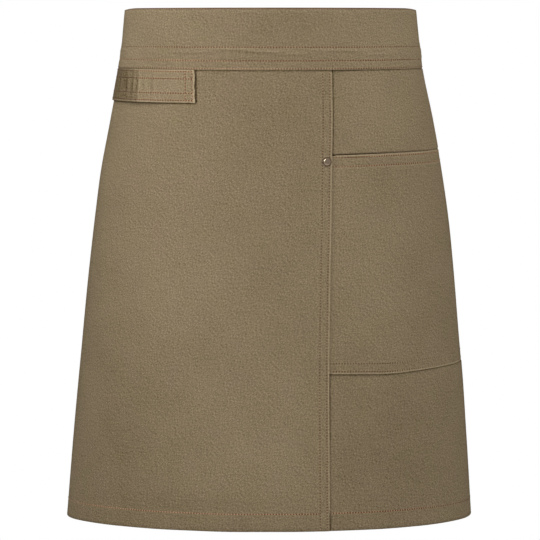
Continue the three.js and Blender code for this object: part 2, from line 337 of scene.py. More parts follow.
def waves(seed, along, drop, lengths, slant=0.3):
    """Soft irregular waves of about unit height, the same in every run."""
    chance = np.random.default_rng(seed)
    total = 0
    for length in lengths:
        turn = chance.uniform(-slant, slant)
        phase, share = chance.uniform(0, 2 * math.pi), chance.uniform(0.6, 1)
        run = along * math.cos(turn) + drop * math.sin(turn)
        total = total + share * np.sin(2 * math.pi * run / length + phase)
    return total / math.sqrt(len(lengths))


def sunk(distance, depth=0.22, reach=0.9):
    """The cloth drawn down along a stitch row, at a distance from it."""
    return -depth * near(distance, reach)


def stitched(seed, distance, along, height, depth=0.22, reach=4.5):
    """A stitch row's mark: the cloth drawn down along it, with little ripples on both sides."""
    ripple = waves(seed, along, 0 * along, (6.1, 8.3, 11.7, 17.0), slant=0.01)
    return sunk(distance, depth) + height * ripple * near(distance, reach)


def pocket_lines(from_lap):
    """Drops of the pocket's mouth and foot at a distance from the lap edge."""
    return pocket_mouth(from_lap), pocket_foot(from_lap)


def gape(from_lap):
    """The share of the pocket's full gape at a distance from the lap edge."""
    return within(from_lap, *GAPE_SPAN)


def pocket_face(drop, from_lap):
    """The pocket's outer face, caught under the lap and bellying out from there."""
    caught = -UNDER_LAP
    rise = ease(from_lap, 2, 22)
    proud = POCKET_PROUD - 0.9 * ease(from_lap, 80, 150)
    return caught + (proud - caught) * rise + gape(from_lap) * pocket_belly(drop)


def side_face(drop, from_lap):
    """The side panel's outer face: under the lap, and hanging back behind the pocket."""
    plain = -UNDER_LAP * (1 - ease(from_lap, 2, 40))
    behind = pocket_face(drop, from_lap) - POCKET_LAYERS - gape(from_lap) * pocket_room(drop)
    reach = 1 - ease(from_lap, POCKET_WIDTH + 2, POCKET_WIDTH + 22)
    mouth, foot = pocket_lines(from_lap)
    below = 14 - 10 * ease(from_lap, 80, 130) - 2.6 * ease(from_lap, 124, 148)
    under = ease(drop - mouth, -2.2, 1.8) * (1 - ease(drop - foot, -1, below))
    return plain + (behind - plain) * under * reach


def flush(along):
    """The share by which the band's lower edge lies flush with the skirt, towards the plain side."""
    return ease(along, 105, 165)


def flared(along):
    """The share by which the band's lower edge stands out over the towel loop, towards its side."""
    return within(-along, *FLARE_SPAN)


def in_band(drop, along):
    """The panels lie deeper where the waistband covers them, and behind the loop's far half."""
    loop = within(-along, *HOLLOW_SPAN)
    tight = flush(along)
    covered = 1 - ease(drop, 57.8 - 0.6 * tight, 61.5 - 1.9 * tight + 26 * loop)
    return -(0.9 + 0.45 * tight - 0.6 * flared(along)) * covered


def hang(seed, drop, along):
    """Slack of the hanging skirt, a little more towards the hem."""
    depth = 0.15 + 0.75 * ease(drop, 80, 500)
    return depth * waves(seed, along, drop * 0.4, (62, 91, 133, 170), slant=0.25)


def front_relief(drop, along):
    """The front panel's outer face."""
    from_lap = lap_along(drop) - along
    from_edge = along + back_along(drop)
    out = hang(11, drop, along) * ease(from_lap, 0, 40) + in_band(drop, along)
    lapped = 1 - ease(from_lap, LAP_WIDTH - 1.2, LAP_WIDTH + 0.8)
    out = out + LAP_PROUD * lapped * ease(drop, LAP_TOP - 2, LAP_TOP + 2)
    below_band = ease(drop, BAND_HEIGHT, BAND_HEIGHT + 4)
    for i, inset in enumerate(LAP_ROWS):
        out = out + below_band * stitched(20 + i, from_lap - inset, drop, 0.09)
    open_hem = ease(from_lap, LAP_WIDTH - 2, LAP_WIDTH)
    out = out + open_hem * stitched(23, drop - HEM_ROW, along, 0.14)
    out = out + stitched(24, from_edge - EDGE_ROW, drop, 0.12)
    from_rivet = np.hypot(from_lap - RIVET_INSET, drop - RIVET_DROP)
    return out - 0.5 * near(from_rivet, 5.5)


def side_relief(drop, along):
    """The side panel's outer face."""
    from_lap = along - lap_along(drop)
    from_edge = back_along(drop) - along
    out = side_face(drop, from_lap) + in_band(drop, along)
    free = ease(from_lap, 6, 50) * (1 - within(drop, *POCKET_SPAN))
    out = out + free * hang(12, drop, along)
    out = out + stitched(33, drop - HEM_ROW, along, 0.14)
    return out + stitched(34, from_edge - EDGE_ROW, drop, 0.12)


def pocket_relief(drop, along):
    """The pocket's outer face."""
    from_lap = along - lap_along(drop)
    mouth, foot = pocket_lines(from_lap)
    out = pocket_face(drop, from_lap)
    out = out + 0.35 * ease(from_lap, 8, 60) * waves(41, along, drop * 0.5, (47, 71, 108), slant=0.4)
    for i, inset in enumerate(POCKET_MOUTH_ROWS):
        out = out + stitched(42 + i, drop - mouth - inset, along, 0.14)
    for i, inset in enumerate(POCKET_FOOT_ROWS):
        out = out + stitched(46 + i, foot - drop - inset, along, 0.14)
    for inset in POCKET_FAR_ROWS:
        out = out + sunk(POCKET_WIDTH - from_lap - inset)
    return out


def band_drop(line, along):
    """The waistband's rows rise a little towards the sides, and its top edge is slightly crowned."""
    share = line / BAND_HEIGHT
    side = np.abs(along)
    crown = 0.45 - 1.4 * ease(side, 148, 192)
    return line - share * np.minimum(side / 140, 1.3) ** 2 - (1 - share) * crown


def band_ridges(line, along):
    """The long creases that stand up in the band's tunnel."""
    total = 0
    for middle, height, length, below, slope in BAND_CREASES:
        ridge = line - BAND_ROWS[0] - below - slope * (along - middle)
        total = total + height * near(ridge, 1.0) * np.exp(-((along - middle) / length) ** 4)
    return total


def band_relief(line, along):
    """The waistband's outer face over a row line, with the tape's tunnel between its upper two rows."""
    upper, lower, last = BAND_ROWS
    share = np.clip((line - upper) / (lower - upper), 0, 1)
    fullness = 0.4 + 0.2 * waves(51, along, 0 * along, (31, 47, 80), slant=0.01)
    tunnel = fullness * np.sin(math.pi * share) ** 0.7
    crease = waves(52, along, (line - upper) * 5.0, (15, 22, 34), slant=0.9)
    tunnel = tunnel + 0.15 * crease * np.sin(math.pi * share)
    out = BAND_PROUD + tunnel + band_ridges(line, along)
    out = out - 0.5 * flush(along) * ease(line, lower - 4, last)
    out = out + 0.9 * flared(along) * ease(line, 44, last)
    for i, row in enumerate(BAND_ROWS):
        out = out + stitched(53 + i, line - row, along, 0.14, 0.3, 3.4)
    ripple = waves(58, along, line * 1.4, (5.3, 7.1, 9.7), slant=0.8)
    out = out + 0.13 * ripple * near(line - (lower + last) / 2, 3)
    out = out + sunk(line - TOP_ROW, 0.2, 0.7)
    flat = within(line, 2, 12, upper - 8, upper)
    return out + 0.25 * flat * waves(57, along, line, (37, 58, 95), slant=0.5)


def pinched(out, shut):
    """A face of the waistband drawn towards the other one where the band's end is sewn shut."""
    return out + (BAND_MIDDLE + (out - BAND_MIDDLE) * BAND_PINCH - out) * shut


def loop_drop(height, along):
    """Drops on the towel loop, which hangs from the waistband's lower edge."""
    return band_drop(BAND_HEIGHT, along) + LOOP_GAP + height


def loop_creases(height, distance):
    """All creases across the loop, deepest between the inner stitch rows."""
    upper, lower = LOOP_ROWS[1:3]
    free = 0.45 + 0.55 * within(height, upper - 1.5, upper + 2, lower - 3, lower + 1)
    total = 0
    for centre, depth, reach, slant in LOOP_CREASES:
        total = total + depth * free * near(distance - centre - slant * (height - 15), reach)
    return total


def loop_relief(height, along):
    """The towel loop's outer face, with its folded sewn end and the creases where it turns to the side."""
    distance = LOOP_START - along
    tilt = 0.8 + 0.2 * height / LOOP_HEIGHT
    out = np.maximum(loop_out(distance) * tilt, LOOP_LEAST_OUT) + LOOP_STRAP
    out = out + in_band(loop_drop(height, along), along)
    slack = within(distance, *SLACK_SPAN)
    out = out + 0.25 * slack * waves(61, along, height * 1.5, (19, 31), slant=0.5)
    out = out + 0.9 * near(distance, 2.2) - loop_creases(height, distance)
    for i, row in enumerate(LOOP_ROWS):
        out = out + stitched(63 + i, height - row, along, 0.13, 0.2, 3.5)
    for inset in LOOP_ENDS:
        out = out + sunk(distance - inset, 0.2) + sunk(LOOP_LENGTH - distance - inset, 0.2)
    return out


# Wear of the cloth, and painted light and shade on it

def line_tone(distance, strength=1.0, reach=1.2):
    """A line of tone near an edge or seam: added for abrasion with painted highlight, taken away for painted
    shade.
    """
    return strength * near(distance, reach)


def painted_light_and_shade(drop, along):
    """Painted light and shade in patches over the cloth, and painted shade round its sides and back."""
    side = 1.13 * half_width(drop) + 12
    total = -0.55 * ease(along, side - 6, side + 14) - 0.35 * ease(-along, side - 6, side + 14)
    for place, low, wide, tall, strength in LIGHT_AND_SHADE_PATCHES:
        total = total + strength * near(along - place, wide) * near(drop - low, tall)
    return total


def seams(*distances):
    """Cloth lighter along stitch rows: abrasion with painted highlight."""
    return sum(line_tone(distance, 0.9, 1.0) for distance in distances)


def lap_shade(drop, from_lap):
    """Shade on the side panel close beside the lap edge, faintest above the hem."""
    strength = 2.9 - 1.9 * within(drop, *FAINT_SHADE_SPAN)
    return line_tone(from_lap - 0.5, 1, 0.9) * strength


def pocket_shade(drop, from_lap):
    """Shade on the side panel just inside the pocket's mouth and close under its foot."""
    mouth, foot = pocket_lines(from_lap)
    gaping = 1 - ease(from_lap, 14, 68)
    deep = ease(drop - mouth, -1.0 - 0.6 * gaping, 0.2 - 0.4 * gaping) * (1 - ease(drop - mouth, 8, 22))
    reach = 1 - ease(from_lap, POCKET_WIDTH - 8, POCKET_WIDTH - 2)
    return ((1.4 + 2.8 * gaping) * deep + line_tone(drop - foot - 0.5, 1.9, 0.8)) * reach


def band_shade(drop, along):
    """Shade on the panels close under the waistband's lower edge."""
    return line_tone(drop - band_drop(BAND_HEIGHT, along) - 0.5, 2.6, 0.8)


def loop_shade(drop, along):
    """Shade on the panel close beside the loop's sewn end and close under its lower edge."""
    below = drop - loop_drop(LOOP_HEIGHT, along)
    beside = along - LOOP_START
    above_foot = 1 - ease(below, -0.5, 0.5)
    end = line_tone(beside - 0.6, 3.6, 0.9) * above_foot * ease(drop, BAND_HEIGHT, BAND_HEIGHT + 1.5)
    on_loop = (1 - ease(beside, -0.5, 0.5)) * ease(beside, -LOOP_LENGTH, 4 - LOOP_LENGTH)
    return np.maximum(end, line_tone(below - 0.4, 2.8, 0.8) * on_loop)


def panel_wear_and_shade(drop, along):
    """A panel's abrasion and painted light and shade, without the marks of other pieces."""
    # Painted light and shade in patches, abrasion with painted highlight along the hem's row, painted shade
    # at the foot.
    return painted_light_and_shade(drop, along) + seams(drop - HEM_ROW) - line_tone(APRON_LENGTH - drop, 2.0, 0.7)


def front_marks(drop, along):
    """Marks on the front panel of the lap, the rivet, the towel loop and the waistband."""
    from_lap = lap_along(drop) - along
    from_rivet = np.hypot(from_lap - RIVET_INSET, drop - RIVET_DROP)
    # Painted highlights along the lap edge and round the rivet.
    marks = line_tone(from_lap - 0.5, 2.5, 0.8) + line_tone(from_rivet - 5.8, 0.9, 0.8)
    # The lap's rows lighter: abrasion with painted highlight.
    marks = marks + 0.7 * seams(*(from_lap - inset for inset in LAP_ROWS))
    # Painted shade beside the towel loop and under the waistband.
    return marks - loop_shade(drop, along) - band_shade(drop, along)


def side_marks(drop, along):
    """Painted shade on the side panel under the waistband, beside the lap and round the pocket."""
    from_lap = along - lap_along(drop)
    return -band_shade(drop, along) - lap_shade(drop, from_lap) - pocket_shade(drop, from_lap)


def band_wear_and_shade(line, along, outside):
    """The waistband's abrasion and painted light and shade; its rows and lower edge are lighter on its outer
    face only.
    """
    # Painted light and shade in patches, painted shade along the top edge and a painted highlight just below
    # it.
    worn = painted_light_and_shade(line, along) - line_tone(line - 0.3, 3.0, 0.7) + line_tone(line - 3.0, 0.6, 1.1)
    # A painted highlight on the upper side of each tunnel crease and painted shade below it.
    worn = worn + band_ridges(line + 0.5, along) - 0.9 * band_ridges(line - 1.2, along)
    # Rows and lower edge lighter: abrasion with painted highlight.
    sewn = line_tone(BAND_HEIGHT - line, reach=1.0) + seams(*(line - row for row in BAND_ROWS))
    return worn + outside * sewn


def pocket_wear_and_shade(drop, along):
    """The pocket's abrasion and painted light and shade at its mouth, its foot and along their rows."""
    mouth, foot = pocket_lines(along - lap_along(drop))
    first, second = (drop - mouth - inset for inset in POCKET_MOUTH_ROWS)
    # Painted light and shade in patches, abrasion with painted highlight along the mouth's and the foot's
    # edges.
    worn = painted_light_and_shade(drop, along) + line_tone(drop - mouth - 0.8, 1.9, 0.7) + line_tone(foot - drop - 0.8, 2.3, 0.7)
    # Lighter at the first row and just below the second, abrasion with painted highlight, and a line of
    # painted shade below that.
    worn = worn + seams(first, second - 1.4) - line_tone(second - 3.2, 0.6, 0.9)
    # The foot's rows lighter: abrasion with painted highlight.
    return worn + seams(*(foot - drop - inset for inset in POCKET_FOOT_ROWS))


def loop_wear_and_shade(height, distance):
    """The towel loop's abrasion and painted light and shade: light edges, rows, ridges, dark creases at its
    turn.
    """
    # Edges, rows and sewn ends lighter: abrasion with painted highlight.
    worn = line_tone(height, 1.6) + line_tone(LOOP_HEIGHT - height - 0.6, 1.2) + line_tone(distance - 0.7, 3.2, 0.7)
    worn = worn + seams(*(height - row for row in LOOP_ROWS), *(distance - inset for inset in LOOP_ENDS))
    # The loop is lighter overall, and painted shade darkens the part that turns to the side, fading out
    # behind it.
    turn = ease(distance, 57, 72) * 1.5 + ease(distance, 68, 100)
    worn = worn + 0.4 - turn * (1 - ease(distance, 114, 146))
    # A painted highlight beside each crease and painted shade in it.
    return worn + 1.4 * loop_creases(height, distance + 3.2) - 1.9 * loop_creases(height, distance)


# Lines of the cloth's grid

def spread(start, stop, step):
    """Even lines from start to stop, no more than a step apart."""
    return np.linspace(start, stop, max(1, math.ceil(abs(stop - start) / step)) + 1)


def lines_near(lines, rows, steps=(0, 0.6, 1.3, 2.2)):
    """The lines with closer ones added on both sides of the stitch rows."""
    close = [row + side * step for row in rows for step in steps for side in (-1, 1)]
    close = [line for line in close if lines[0] < line < lines[-1]]
    kept = []
    ordered = sorted([*[(line, 1) for line in lines], *[(line, 0) for line in close]])
    for line, _ in ordered:
        if not kept or line - kept[-1] > 0.28:
            kept.append(line)
    kept[-1] = lines[-1]
    return np.array(kept)


def turned(width, layer, cloth, step=2.4):
    """A folded edge: insets from the edge and offsets of the cloth, from the fold to the raw end."""
    if not width:
        return np.zeros(0), np.zeros(0)
    radius = layer / 2
    bend = np.linspace(0, math.pi, 6)[1:]
    insets = radius + cloth / 2 - radius * np.sin(bend)
    back = spread(radius + cloth / 2, width, step)[1:]
    offsets = np.concatenate((radius * (np.cos(bend) - 1), np.full(len(back), -layer)))
    return np.concatenate((insets, back)), offsets


def between(places, length, margin=24):
    """Shares and insets that keep the lines near both edges at their true distance from them."""
    share = np.clip((places - margin) / (length - 2 * margin), 0, 1)
    inset = np.where(places < margin, places, margin - 2 * margin * share)
    return share, np.where(places > length - margin, places - length, inset)


class Lines:
    """Lines of a grid across one direction of the cloth, with turned edges at either end."""

    def __init__(self, length, step, rows, cloth, start_turn=0, end_turn=0):
        layer = cloth + 0.1
        fold = layer / 2 + cloth / 2
        low = fold if start_turn else 0
        high = length - fold if end_turn else length
        places = lines_near(spread(low, high, step), rows)
        first, first_out = turned(start_turn, layer, cloth)
        last, last_out = turned(end_turn, layer, cloth)
        self.folded = np.repeat((True, False, True), (len(first), len(places), len(last)))
        self.out = np.concatenate((first_out[::-1], np.zeros(len(places)), last_out))
        self.places = np.concatenate((first[::-1], places, length - last))
        self.share, self.inset = between(self.places, length)

    def across(self, low, high):
        """The lines' places between two edges that may move apart."""
        return low * (1 - self.share) + high * self.share + self.inset

    def upward(self):
        """Turns the lines into rows of the grid, from the lowest up."""
        for name in ("places", "out", "folded", "share", "inset"):
            setattr(self, name, getattr(self, name)[::-1, None])
        return self


# Making meshes

def deselect_all():
    """Leaves nothing selected, in object mode."""
    if bpy.context.object and bpy.context.object.mode != "OBJECT":
        bpy.ops.object.mode_set(mode="OBJECT")
    bpy.ops.object.select_all(action="DESELECT")


def select_only(piece):
    """Selects one piece and makes it active."""
    deselect_all()
    piece.select_set(True)
    bpy.context.view_layer.objects.active = piece


def apply_modifier(piece, kind, **values):
    """Adds a modifier with its values and applies it."""
    select_only(piece)
    modifier = piece.modifiers.new(kind.title(), kind)
    for name, value in values.items():
        setattr(modifier, name, value)
    bpy.ops.object.modifier_apply(modifier=modifier.name)


def edit_picked(piece, kind, picked):
    """Goes into edit mode with only the picked points or edges of a piece selected."""
    select_only(piece)
    bpy.ops.object.mode_set(mode="EDIT")
    bpy.ops.mesh.select_mode(type=kind)
    bpy.ops.mesh.select_all(action="DESELECT")
    bpy.ops.object.mode_set(mode="OBJECT")
    elements = piece.data.vertices if kind == "VERT" else piece.data.edges
    elements.foreach_set("select", picked)
    bpy.ops.object.mode_set(mode="EDIT")


def drop_points(piece, doomed):
    """Deletes the marked points of a piece."""
    edit_picked(piece, "VERT", doomed.ravel())
    bpy.ops.mesh.delete(type="VERT")
    bpy.ops.object.mode_set(mode="OBJECT")


def cloth_grid(name, points, along, drop, worn, inside=None):
    """A grid laid on rows of points from the hem up, with the cloth's own measure as its UV map."""
    rows, columns = points.shape[:2]
    deselect_all()
    bpy.ops.mesh.primitive_grid_add(x_subdivisions=columns - 1, y_subdivisions=rows - 1, size=1)
    piece = bpy.context.object
    piece.name = piece.data.name = name
    mesh = piece.data
    if len(mesh.vertices) != rows * columns:
        raise RuntimeError(f"{name}: the grid has {len(mesh.vertices)} points and needs {rows * columns}")
    mesh.vertices.foreach_set("co", points.reshape(-1).astype(np.float32))
    corner = np.empty(len(mesh.loops), np.int32)
    mesh.loops.foreach_get("vertex_index", corner)
    measure = np.stack((along.ravel(), drop.ravel()), axis=-1)[corner] * MM
    mesh.uv_layers[0].data.foreach_set("uv", measure.reshape(-1).astype(np.float32))
    # Each point holds abrasion with painted light and shade, for the outer face and for the inner one.
    for face, face_tones in (("worn", worn), ("inside", worn if inside is None else inside)):
        point_values(mesh, face, face_tones)
    mesh.update()
    return piece


def point_values(mesh, name, values):
    """Gives the points of a mesh a named value each."""
    points = mesh.attributes.new(name, "FLOAT", "POINT")
    points.data.foreach_set("value", values.ravel().astype(np.float32))


def wear_and_shade_inside(mesh):
    """Keeps the seams' marks and the outer face's painted shade off the cloth's inner face, once it has its
    thickness.
    """
    places = np.empty(3 * len(mesh.vertices), np.float32)
    mesh.vertices.foreach_get("co", places)
    reach = np.hypot(places[0::3], places[1::3]).reshape(2, -1)
    face_tones = {}
    for face in ("worn", "inside"):
        face_tones[face] = np.empty(len(mesh.vertices), np.float32)
        mesh.attributes[face].data.foreach_get("value", face_tones[face])
        face_tones[face] = face_tones[face].reshape(2, -1)
    inner = int(reach.mean(axis=1).argmin())
    face_tones["worn"][inner] = face_tones["inside"][inner]
    mesh.attributes["worn"].data.foreach_set("value", face_tones["worn"].ravel())
    mesh.attributes.remove(mesh.attributes["inside"])


def finish_cloth(piece, thickness, node, bevel=0):
    """Gives a grid its thickness, its cloth and its place in the part."""
    apply_modifier(piece, "SOLIDIFY", thickness=thickness, offset=0, use_even_offset=False)
    wear_and_shade_inside(piece.data)
    if bevel:
        apply_modifier(
            piece, "BEVEL", width=bevel, segments=2, limit_method="ANGLE", angle_limit=CRISP_EDGE)
    select_only(piece)
    bpy.ops.object.shade_smooth_by_angle(angle=CRISP_EDGE)
    piece.data.materials.clear()
    piece.data.materials.append(shared("khaki twill", khaki_twill))
    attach(piece, "root")
    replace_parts(piece, node)


def stitch_shape(pitch, width):
    """One stitch modelled as a short length of thread that dips into the cloth at both ends."""
    length = pitch * 0.98
    flatness, rise, dip = 0.42, 0.12, 0.08
    deselect_all()
    bpy.ops.mesh.primitive_cylinder_add(
        vertices=5, radius=width / 2, depth=length, end_fill_type="NGON", rotation=(0, math.pi / 2, 0))
    bpy.ops.object.transform_apply(location=True, rotation=True, scale=True)
    stitch = bpy.context.object
    points, edges = stitch.data.vertices, stitch.data.edges
    ends = np.array([[points[i].co.x for i in edge.vertices] for edge in edges])
    edit_picked(stitch, "EDGE", np.abs(ends[:, 0] - ends[:, 1]) > length / 2)
    bpy.ops.mesh.subdivide(number_cuts=5)
    bpy.ops.object.mode_set(mode="OBJECT")
    shape = np.array([vertex.co for vertex in stitch.data.vertices])
    faces = [tuple(polygon.vertices) for polygon in stitch.data.polygons]
    bpy.data.objects.remove(stitch)
    reach = np.abs(shape[:, 0]) / (length / 2)
    shape[:, 1:] *= np.where(reach > 0.9, 0.8, 1.0)[:, None]
    shape[:, 2] = flatness * shape[:, 2] + width * (rise - dip * reach ** 2)
    # Last, each point's share of painted highlight: lit in the stitch's middle, painted shade towards its
    # dipping ends.
    return shape, faces, 1 - ease(reach, 0.3, 0.55)


def unit(vectors):
    """Vectors brought to unit length."""
    return vectors / np.linalg.norm(vectors, axis=1, keepdims=True)


class Seamstress:
    """Collects stitch rows and joins them in one mesh of thread."""

    def __init__(self, cloth):
        self.pitch = cloth.stitch_pitch
        self.shape, self.faces, self.lit = stitch_shape(self.pitch, cloth.thread_width)
        self.places, self.looks = [], []
        self.chance = np.random.default_rng(7)

    def row(self, drop, along, skin, tone=0.5, contrast=1.0, faint=0.3, inward=False):
        """A row on the skin of a relief; its thread's tone, contrast and faintness may change along it."""
        path = spot(drop, along, skin)
        gaps = np.linalg.norm(np.diff(path, axis=0), axis=1)
        measure = np.concatenate(([0], np.cumsum(gaps)))
        count = int(measure[-1] / self.pitch)
        centres = (np.arange(count) + 0.5) * measure[-1] / count
        centres = centres + self.chance.normal(0, 0.02 * self.pitch, count)

        def at(places, *values):
            """Values along the row, read at places of its measure."""
            return [np.interp(places, measure, np.broadcast_to(value, drop.shape)) for value in values]

        drops, alongs, skins, *looks = at(centres, drop, along, skin, tone, contrast, faint)
        here = spot(drops, alongs, skins)
        lift = unit(spot(drops, alongs, skins + 1) - here)
        if inward:
            lift = -lift
        before, after = at(centres - self.pitch / 2, *path.T), at(centres + self.pitch / 2, *path.T)
        run = np.stack(after, -1) - np.stack(before, -1)
        run = unit(run - lift * np.sum(run * lift, axis=1, keepdims=True))
        side = np.cross(lift, run)
        swing = self.chance.normal(0, 0.05, count)[:, None]
        run, side = run + swing * side, side - swing * run
        self.places.append((here, run, side, lift))
        self.looks.append(np.stack(looks))

    def sew(self, name, material):
        """Joins the rows so far into one piece and starts afresh."""
        here, run, side, lift = (np.concatenate(parts) for parts in zip(*self.places))
        points = here[:, None] + sum(
            self.shape[None, :, axis, None] * direction[:, None]
            for axis, direction in enumerate((run, side, lift)))
        size = len(self.shape)
        faces = [tuple(i + size * k for i in face) for k in range(len(here)) for face in self.faces]
        mesh = bpy.data.meshes.new(name)
        mesh.from_pydata(points.reshape(-1, 3), [], faces)
        tone, contrast, faint = np.concatenate(self.looks, axis=1)[:, :, None]
        # Each stitch's share of painted highlight over painted shade, set by the row's tone and contrast.
        lit = tone + contrast * (self.lit - 0.5)
        point_values(mesh, "highlight_share", lit)
        point_values(mesh, "faint", faint + 0 * lit)
        piece = bpy.data.objects.new(name, mesh)
        bpy.context.scene.collection.objects.link(piece)
        select_only(piece)
        bpy.ops.object.shade_smooth()
        mesh.materials.append(material)
        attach(piece, "root")
        self.places, self.looks = [], []


# Materials

def shared(name, make):
    """A material made once and shared by all pieces of its kind."""
    return bpy.data.materials.get(name) or make(name)


def new_group(name, inputs, outputs):
    """An empty shader node group with its named sockets."""
    group = bpy.data.node_groups.new(name, "ShaderNodeTree")
    for socket, kind, value in inputs:
        made = group.interface.new_socket(name=socket, in_out="INPUT", socket_type=kind)
        if value is not None:
            made.default_value = value
    for socket, kind in outputs:
        group.interface.new_socket(name=socket, in_out="OUTPUT", socket_type=kind)
    return group, group.nodes.new("NodeGroupInput"), group.nodes.new("NodeGroupOutput")


def feed(tree, socket, value):
    """Links a socket to another one, or sets it to a plain value."""
    if isinstance(value, bpy.types.NodeSocket):
        tree.links.new(value, socket)
    else:
        socket.default_value = value


def fed_node(tree, kind, operation, values):
    """A node set to an operation and fed by sockets or plain values; gives its first output."""
    node = tree.nodes.new(kind)
    node.operation = operation
    for socket, value in zip(node.inputs, values):
        feed(tree, socket, value)
    return node.outputs[0]


def math_node(tree, operation, *values):
    """A sum over numbers."""
    return fed_node(tree, "ShaderNodeMath", operation, values)


def vector_node(tree, operation, *values):
    """A sum over vectors or colours."""
    return fed_node(tree, "ShaderNodeVectorMath", operation, values)


def tinted(tree, colour, factor):
    """A colour made lighter or darker by a socket's value."""
    shade = vector_node(tree, "SCALE", colour)
    tree.links.new(factor, shade.node.inputs["Scale"])
    return shade


def mixed_colour(tree, factor, first, second):
    """Two colours mixed by a factor."""
    node = tree.nodes.new("ShaderNodeMix")
    node.data_type = "RGBA"
    feed(tree, node.inputs["Factor"], factor)
    colours = [socket for socket in node.inputs if socket.type == "RGBA"]
    for socket, value in zip(colours, (first, second)):
        feed(tree, socket, value)
    return next(socket for socket in node.outputs if socket.type == "RGBA")


def noise_node(tree, vector, scale, detail=2.0, roughness=0.55):
    """A noise texture's value over a vector."""
    node = tree.nodes.new("ShaderNodeTexNoise")
    values = {"Vector": vector, "Scale": scale, "Detail": detail, "Roughness": roughness}
    for name, value in values.items():
        feed(tree, node.inputs[name], value)
    return node.outputs[0]


def attribute_node(tree, name):
    """A named value of the mesh's points."""
    node = tree.nodes.new("ShaderNodeAttribute")
    node.attribute_name = name
    return node.outputs["Fac"]


def twill_group():
    """Twill weave over the cloth's own measure: ribs, yarns, slubs and a faint uneven dye."""
    group, given, result = new_group(
        "twill weave",
        (("Measure", "NodeSocketVector", None), ("Dye", "NodeSocketColor", (0.26, 0.2, 0.12, 1)),
         ("Pitch", "NodeSocketFloat", 0.00075), ("Wear and shade", "NodeSocketFloat", 0.0)),
        (("Colour", "NodeSocketColor"), ("Height", "NodeSocketFloat")))
    measure, dye, pitch, worn = (given.outputs[name] for name in ("Measure", "Dye", "Pitch", "Wear and shade"))
    split = group.nodes.new("ShaderNodeSeparateXYZ")
    group.links.new(measure, split.inputs[0])
    across, down = split.outputs[0], split.outputs[1]
    wander = noise_node(group, measure, 160, 1.0)
    shift = math_node(group, "MULTIPLY", math_node(group, "SUBTRACT", wander, 0.5), 0.0012)
    slant = math_node(group, "ADD", math_node(group, "ADD", across, down), shift)
    counter = math_node(group, "SUBTRACT", across, down)
    cycle = math_node(group, "DIVIDE", slant, pitch)
    rib = math_node(group, "SINE", math_node(group, "MULTIPLY", cycle, 2 * math.pi))
    yarn_turn = math_node(group, "DIVIDE", across, pitch)
    yarn = math_node(group, "SINE", math_node(group, "MULTIPLY", yarn_turn, 4 * math.pi))
    ribbed = group.nodes.new("ShaderNodeCombineXYZ")
    group.links.new(math_node(group, "MULTIPLY", slant, 760), ribbed.inputs[0])
    group.links.new(math_node(group, "MULTIPLY", counter, 380), ribbed.inputs[1])
    grain = noise_node(group, ribbed.outputs[0], 1.0, 1.0)
    fibre = noise_node(group, measure, 1500, 2.0, 0.6)
    slub = noise_node(group, vector_node(group, "MULTIPLY", measure, (900, 60, 1)), 1.0)
    weft = noise_node(group, vector_node(group, "MULTIPLY", measure, (50, 800, 1)), 1.0)
    cloud = noise_node(group, measure, 22, 3.0)
    height = math_node(group, "MULTIPLY_ADD", rib, 0.5, math_node(group, "MULTIPLY", yarn, 0.2))
    height = math_node(group, "MULTIPLY_ADD", fibre, 0.9, height)
    height = math_node(group, "MULTIPLY_ADD", grain, 0.6, height)
    group.links.new(height, result.inputs["Height"])
    shares = ((grain, 1.7), (fibre, 0.45), (slub, 0.27), (weft, 0.3), (cloud, 0.22))
    tone = math_node(group, "MULTIPLY_ADD", rib, 0.08, 1 - sum(share for _, share in shares) / 2)
    # The value for abrasion and painted light and shade lightens and darkens the tone.
    for value, share in (*shares, (worn, 0.2)):
        tone = math_node(group, "MULTIPLY_ADD", value, share, tone)
    blush = math_node(group, "MULTIPLY_ADD", noise_node(group, measure, 38), 2.4, -0.7)
    # Lighter tone turns cooler and darker tone warmer: the tint of lit and shaded cloth, painted into the
    # colour.
    olive, rosy, lit = (
        vector_node(group, "MULTIPLY", dye, tint)
        for tint in ((0.991, 1.006, 0.972), (1.009, 0.994, 1.028), (1.0, 1.065, 1.2)))
    shine = tinted(group, lit, math_node(group, "SUBTRACT", tone, 1.0))
    summed = vector_node(group, "ADD", mixed_colour(group, blush, olive, rosy), shine)
    group.links.new(vector_node(group, "MAXIMUM", summed, (0.012, 0.008, 0.004)), result.inputs["Colour"])
    return group


def new_material(name, values):
    """A material with only its Principled shader, set to some plain values, and its output."""
    material = bpy.data.materials.new(name)
    material.use_nodes = True
    shader = material.node_tree.nodes["Principled BSDF"]
    for socket, value in values.items():
        shader.inputs[socket].default_value = value
    return material, material.node_tree, shader


def bump(tree, shader, height, strength, distance):
    """Lets a height shape the shader's normal."""
    node = tree.nodes.new("ShaderNodeBump")
    node.inputs["Strength"].default_value = strength
    node.inputs["Distance"].default_value = distance
    tree.links.new(height, node.inputs["Height"])
    tree.links.new(node.outputs["Normal"], shader.inputs["Normal"])


def khaki_twill(name):
    """The apron's cotton twill."""
    cloth = bpy.context.scene.apron_cloth
    material, tree, shader = new_material(name, {"Roughness": 0.9, "Specular IOR Level": 0.08})
    measure = tree.nodes.new("ShaderNodeUVMap")
    measure.uv_map = "UVMap"
    weave = tree.nodes.new("ShaderNodeGroup")
    weave.node_tree = twill_group()
    weave.inputs["Dye"].default_value = (*cloth.khaki, 1)
    weave.inputs["Pitch"].default_value = cloth.twill_pitch
    tree.links.new(measure.outputs["UV"], weave.inputs["Measure"])
    tree.links.new(attribute_node(tree, "worn"), weave.inputs["Wear and shade"])
    tree.links.new(weave.outputs["Colour"], shader.inputs["Base Color"])
    bump(tree, shader, weave.outputs["Height"], 0.5, 0.00012)
    return material


